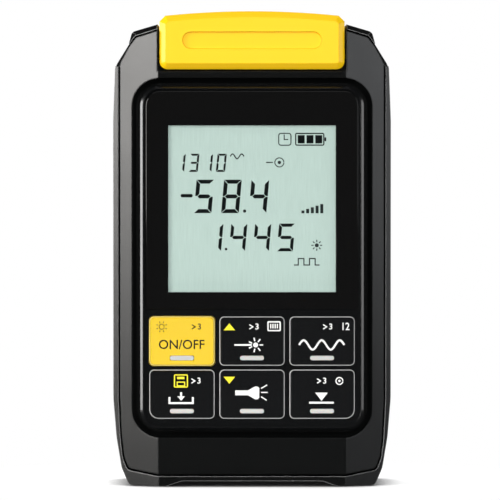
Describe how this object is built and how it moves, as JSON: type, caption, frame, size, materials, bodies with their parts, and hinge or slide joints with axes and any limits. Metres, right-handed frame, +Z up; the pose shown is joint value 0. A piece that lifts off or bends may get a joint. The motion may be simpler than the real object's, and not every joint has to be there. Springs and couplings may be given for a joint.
{
  "type": "optical power meter",
  "caption": "Pocket fibre tester: black faceted case, yellow flip cover over two ports, LCD and six keys.",
  "frame": {"origin": "on the table plane, under the centre of the body, between the two feet", "axes": "+Z up along the case's height, the keys and the display face -Y, +X to the right seen from the front"},
  "size_m": [0.0692, 0.033, 0.118],
  "materials": {
    "black_plastic": "satin",
    "yellow_plastic": "satin",
    "bezel_plastic": "gloss",
    "lens": "gloss",
    "lcd": "satin",
    "light_block": "gloss",
    "elastomer": "matte",
    "board": "satin",
    "chip": "matte",
    "can": "satin",
    "nickel": "satin",
    "brass": "satin",
    "ceramic": "gloss",
    "clear": "gloss",
    "cell": "gloss",
    "steel": "satin",
    "white_plastic": "satin"
  },
  "bodies": {
    "housing": {"front_shell": "black_plastic", "rear_shell": "black_plastic", "panel_bezel": "bezel_plastic", "display_lens": "lens", "lcd_glass": "lcd", "lcd_backlight": "light_block", "contact_strip": "elastomer", "main_board": "board", "port_board": "board", "microcontroller": "chip", "small_chips": "chip", "capacitors": "can", "tact_switches": "can", "meter_port": "nickel", "laser_port": "nickel", "meter_nut": "nickel", "laser_nut": "nickel", "meter_sleeve": "ceramic", "laser_sleeve": "ceramic", "photodiode": "can", "laser_module": "brass", "torch_led": "clear", "torch_lens": "clear", "cell_1": "cell", "cell_2": "cell", "cell_3": "cell", "battery_springs": "steel", "battery_contacts": "nickel", "case_screws": "steel", "board_screws": "steel"},
    "cover": {"port_cover": "yellow_plastic"},
    "door": {"battery_door": "black_plastic"},
    "key_power_unit": {"key_power": "yellow_plastic", "bar_power": "white_plastic", "plunger_power": "chip"},
    "key_vfl_unit": {"key_vfl": "bezel_plastic", "bar_vfl": "white_plastic", "plunger_vfl": "chip"},
    "key_wavelength_unit": {"key_wavelength": "bezel_plastic", "bar_wavelength": "white_plastic", "plunger_wavelength": "chip"},
    "key_save_unit": {"key_save": "bezel_plastic", "bar_save": "white_plastic", "plunger_save": "chip"},
    "key_light_unit": {"key_light": "bezel_plastic", "bar_light": "white_plastic", "plunger_light": "chip"},
    "key_ref_unit": {"key_ref": "bezel_plastic", "bar_ref": "white_plastic", "plunger_ref": "chip"}
  },
  "joints": [
    {"name": "cover_hinge", "type": "hinge", "parent": "housing", "child": "cover", "pos_m": [0, 0.0114, 0.1078], "axis": [-1, 0, 0], "range_deg": [0, 110]},
    {"name": "door_slide", "type": "slide", "parent": "housing", "child": "door", "axis": [0, 0, -1], "range_m": [0, 0.05]},
    {"name": "key_power_press", "type": "slide", "parent": "housing", "child": "key_power_unit", "axis": [0, 1, 0], "range_m": [0, 0.0005], "stiffness_N_per_m": 500},
    {"name": "key_vfl_press", "type": "slide", "parent": "housing", "child": "key_vfl_unit", "axis": [0, 1, 0], "range_m": [0, 0.0005], "stiffness_N_per_m": 500},
    {"name": "key_wavelength_press", "type": "slide", "parent": "housing", "child": "key_wavelength_unit", "axis": [0, 1, 0], "range_m": [0, 0.0005], "stiffness_N_per_m": 500},
    {"name": "key_save_press", "type": "slide", "parent": "housing", "child": "key_save_unit", "axis": [0, 1, 0], "range_m": [0, 0.0005], "stiffness_N_per_m": 500},
    {"name": "key_light_press", "type": "slide", "parent": "housing", "child": "key_light_unit", "axis": [0, 1, 0], "range_m": [0, 0.0005], "stiffness_N_per_m": 500},
    {"name": "key_ref_press", "type": "slide", "parent": "housing", "child": "key_ref_unit", "axis": [0, 1, 0], "range_m": [0, 0.0005], "stiffness_N_per_m": 500}
  ]
}
